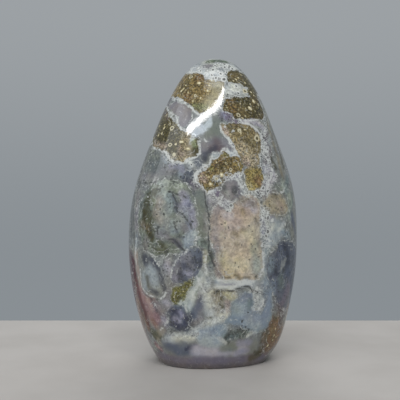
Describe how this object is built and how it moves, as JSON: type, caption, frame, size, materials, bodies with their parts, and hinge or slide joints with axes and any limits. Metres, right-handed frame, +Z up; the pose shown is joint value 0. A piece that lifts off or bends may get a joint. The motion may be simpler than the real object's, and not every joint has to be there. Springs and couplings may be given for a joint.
{
  "type": "ocean jasper freeform",
  "caption": "Polished ocean jasper freeform: one solid stone like a blunt flame that stands upright on a small flat base, for display.",
  "frame": {"origin": "middle of the stone's outline on the surface it stands on", "axes": "+Z up through the crown, -Y out of the broad front face, +X to the right of that face"},
  "size_m": [0.0586, 0.0427, 0.1046],
  "materials": {
    "polished_jasper": "glossy hand polish all over, base included, on orbicular jasper: grey, lilac and cream chalcedony with brown and olive orb patches, white lace borders and dark green and indigo mottling"
  },
  "bodies": {
    "root": {"stone": "polished_jasper"}
  },
  "joints": []
}
